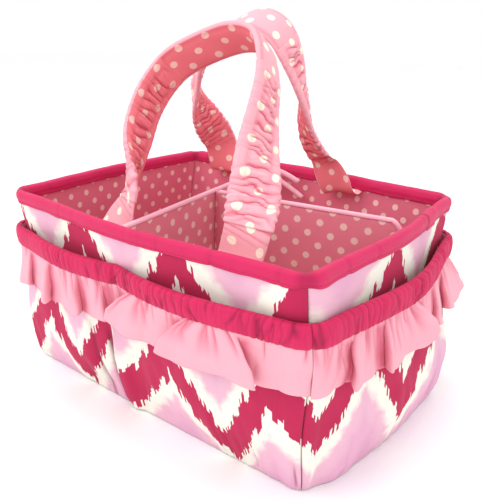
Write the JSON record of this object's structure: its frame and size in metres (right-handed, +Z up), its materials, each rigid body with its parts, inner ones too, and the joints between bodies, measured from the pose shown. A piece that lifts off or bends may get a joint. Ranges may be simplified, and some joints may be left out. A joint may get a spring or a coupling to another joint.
{
  "type": "fabric storage caddy",
  "caption": "Open-topped cloth caddy with stiffened walls, gathered outside pockets under a ruched band and frill, a divider with a hinged flap, and strap handles.",
  "frame": {"origin": "centre of the bounding box on the plane that the caddy stands on", "axes": "+Z up, +X along the long side, -Y towards the wall that carries the handle nearer the camera in the picture"},
  "size_m": [0.358, 0.2744, 0.3289],
  "materials": {
    "printed_cloth": "cotton canvas with a woven-look zigzag print in raspberry, lilac pink and cream",
    "lining_cloth": "dusty rose cotton with pale dots",
    "divider_cloth": "dusty rose cotton with pale dots over a stiff board",
    "base_cloth": "plain pale cotton canvas",
    "binding_tape": "hot pink cotton tape, folded and topstitched",
    "band_casing": "hot pink cotton casing, ruched over elastic",
    "ruffle_cloth": "light pink cotton frill",
    "edging_tape": "light pink cotton tape",
    "strap_cloth": "light pink cotton with cream dots, ruched on the legs",
    "stiff_board": "grey-brown stiffening board",
    "elastic": "woven white elastic",
    "wadding": "white polyester wadding"
  },
  "bodies": {
    "caddy_body": {"base_cover": "base_cloth", "base_board": "stiff_board", "base_lining": "lining_cloth", "front_board": "stiff_board", "front_panel": "printed_cloth", "front_lining": "lining_cloth", "right_board": "stiff_board", "right_panel": "printed_cloth", "right_lining": "lining_cloth", "back_board": "stiff_board", "back_panel": "printed_cloth", "back_lining": "lining_cloth", "left_board": "stiff_board", "left_panel": "printed_cloth", "left_lining": "lining_cloth", "rim_binding": "binding_tape", "front_pocket": "printed_cloth", "front_elastic": "elastic", "front_band": "band_casing", "front_ruffle": "ruffle_cloth", "right_pocket": "printed_cloth", "right_elastic": "elastic", "right_band": "band_casing", "right_ruffle": "ruffle_cloth", "back_pocket": "printed_cloth", "back_elastic": "elastic", "back_band": "band_casing", "back_ruffle": "ruffle_cloth", "left_pocket": "printed_cloth", "left_elastic": "elastic", "left_band": "band_casing", "left_ruffle": "ruffle_cloth", "cross_cover": "divider_cloth", "cross_board": "stiff_board", "cross_edging": "edging_tape", "front_handle_left_foot": "strap_cloth", "front_handle_right_foot": "strap_cloth", "back_handle_left_foot": "strap_cloth", "back_handle_right_foot": "strap_cloth"},
    "front_handle": {"front_handle_grip": "strap_cloth", "front_handle_padding": "wadding", "front_handle_left_leg": "strap_cloth", "front_handle_right_leg": "strap_cloth", "front_handle_left_elastic": "elastic", "front_handle_right_elastic": "elastic"},
    "back_handle": {"back_handle_grip": "strap_cloth", "back_handle_padding": "wadding", "back_handle_left_leg": "strap_cloth", "back_handle_right_leg": "strap_cloth", "back_handle_left_elastic": "elastic", "back_handle_right_elastic": "elastic"},
    "divider_flap": {"flap_board": "stiff_board", "flap_cover": "divider_cloth", "flap_edging": "edging_tape"}
  },
  "joints": [
    {"name": "front_handle_swing", "type": "hinge", "parent": "caddy_body", "child": "front_handle", "pos_m": [0, -0.117, 0.17], "axis": [-1, 0, 0], "range_deg": [-142, 4], "deforming": ["front_handle_left_foot", "front_handle_right_foot"]},
    {"name": "back_handle_swing", "type": "hinge", "parent": "caddy_body", "child": "back_handle", "pos_m": [0, 0.117, 0.17], "axis": [1, 0, 0], "range_deg": [-132, 4], "deforming": ["back_handle_left_foot", "back_handle_right_foot"]},
    {"name": "flap_swing", "type": "hinge", "parent": "caddy_body", "child": "divider_flap", "pos_m": [-0.02042, 0.00135, 0.09], "axis": [0, 0, 1], "range_deg": [-35, 18]}
  ]
}
